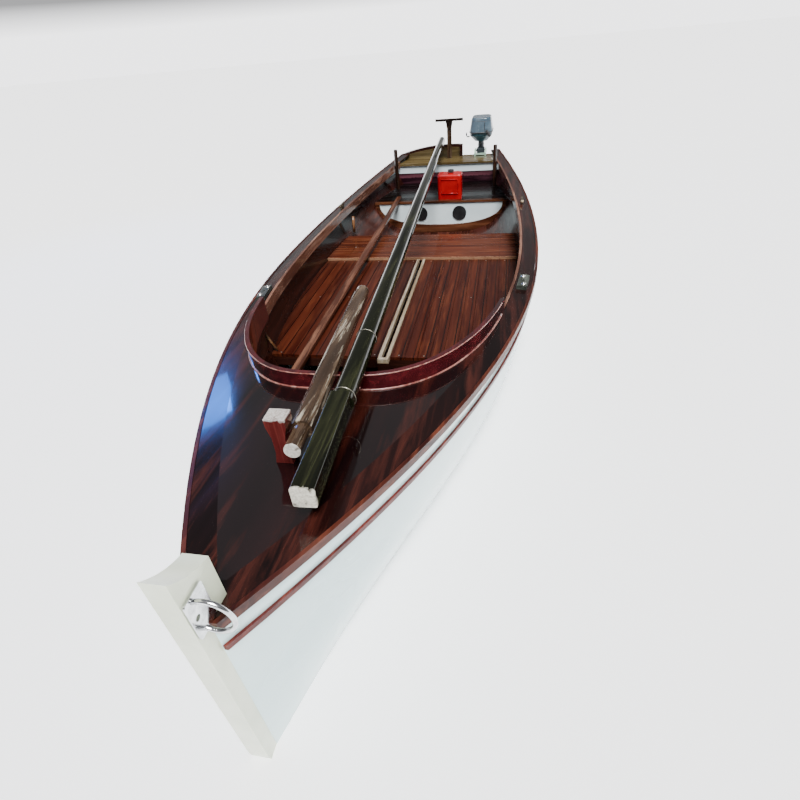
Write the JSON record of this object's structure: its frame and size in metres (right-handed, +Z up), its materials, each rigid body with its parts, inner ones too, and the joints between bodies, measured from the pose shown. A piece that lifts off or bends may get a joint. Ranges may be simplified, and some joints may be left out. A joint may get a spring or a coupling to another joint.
{
  "type": "open day sailing boat",
  "caption": "Open wooden day sailer with a white carvel hull, long decked bow, oval cockpit coaming, lowered mast and bowsprit, drop centreboard, stern rudder and a small outboard motor.",
  "frame": {"origin": "on the waterline, on the centreline, midway between the stem face and the transom face", "axes": "+X forward to the bow, +Y to port, +Z up"},
  "size_m": [5.595, 1.5822, 1.096],
  "materials": {
    "white_paint": "gloss yacht enamel over wood",
    "cream_paint": "weathered cream enamel over wood",
    "dark_varnish": "near-black varnish",
    "mahogany_gloss": "high-gloss varnished mahogany",
    "red_brown_varnish": "varnished red-brown mahogany",
    "crimson_varnish": "varnished crimson-brown mahogany",
    "brown_varnish": "varnished brown hardwood",
    "floor_varnish": "varnished orange-brown planks",
    "pale_wood": "pale bare ash",
    "galvanised_plate": "galvanised",
    "polished_steel": "polished",
    "bronze": "dull bronze",
    "black_plastic": "matt",
    "black_gloss": "black gloss",
    "purple_varnish": "dark varnish",
    "olive_varnish": "olive-gold varnish",
    "grey_green_paint": "dark grey-green paint",
    "spar_varnish": "near-black spar varnish",
    "weathered_spar": "worn spar varnish",
    "red_plastic": "moulded",
    "green_metal": "pale green paint",
    "dark_metal": "dark satin paint",
    "teal_plastic": "satin",
    "blue_grey_plastic": "gloss",
    "black_rubber": "matt",
    "alloy": "satin"
  },
  "bodies": {
    "hull": {"aft_deck": "olive_varnish", "bench_riser": "purple_varnish", "boom_crutch": "dark_varnish", "bowsprit": "weathered_spar", "bulkhead": "white_paint", "bulkhead_cap": "brown_varnish", "bulkhead_moulding": "brown_varnish", "ceiling_planking": "cream_paint", "centreboard_case": "floor_varnish", "centreboard_pin": "bronze", "coaming": "crimson_varnish", "cockpit_trim": "red_brown_varnish", "covering_board_port": "red_brown_varnish", "covering_board_starboard": "red_brown_varnish", "floor_beams": "floor_varnish", "floor_boards_port": "floor_varnish", "floor_boards_starboard": "floor_varnish", "foredeck": "mahogany_gloss", "fuel_can": "red_plastic", "gammon_ring": "polished_steel", "gudgeons": "galvanised_plate", "keel": "white_paint", "locker_hatches": "black_plastic", "lower_strip_port": "brown_varnish", "lower_strip_starboard": "brown_varnish", "mast": "spar_varnish", "mooring_bitt": "crimson_varnish", "motor_clamp": "green_metal", "planking_port": "white_paint", "planking_starboard": "white_paint", "quarter_post_port": "dark_varnish", "quarter_post_starboard": "dark_varnish", "rowlock_pad_port": "grey_green_paint", "rowlock_pad_starboard": "grey_green_paint", "rub_rail_port": "brown_varnish", "rub_rail_starboard": "brown_varnish", "slot_capping": "pale_wood", "spare_spar": "brown_varnish", "stem_post": "cream_paint", "step_boards": "red_brown_varnish", "stern_bench": "black_gloss", "stern_cleats": "bronze", "stern_fascia": "white_paint", "transom": "white_paint", "transom_cap": "dark_varnish"},
    "centreboard": {"centreboard": "galvanised_plate"},
    "rudder": {"rudder": "brown_varnish", "pintles": "galvanised_plate"},
    "motor_tilt": {"motor_swivel": "dark_metal"},
    "motor_steer": {"motor_leg": "dark_metal", "motor_pan": "teal_plastic", "motor_cowl": "blue_grey_plastic", "motor_grip": "black_rubber"},
    "propeller": {"propeller": "alloy"}
  },
  "joints": [
    {"name": "centreboard_swing", "type": "hinge", "parent": "hull", "child": "centreboard", "pos_m": [0.85, 0, -0.09], "axis": [0, -1, 0], "range_deg": [0, 60]},
    {"name": "rudder_steer", "type": "hinge", "parent": "hull", "child": "rudder", "pos_m": [-2.645, 0, 0], "axis": [0, 0, 1], "range_deg": [-30, 30]},
    {"name": "motor_tilting", "type": "hinge", "parent": "hull", "child": "motor_tilt", "pos_m": [-2.667, 0.31, 0.505], "axis": [0, 1, 0], "range_deg": [0, 60]},
    {"name": "motor_steering", "type": "hinge", "parent": "motor_tilt", "child": "motor_steer", "pos_m": [-2.735, 0.31, 0.45], "axis": [0, 0, 1], "range_deg": [-30, 30]},
    {"name": "propeller_spin", "type": "hinge", "parent": "motor_steer", "child": "propeller", "pos_m": [-2.925, 0.31, -0.15], "axis": [1, 0, 0], "continuous": true}
  ]
}
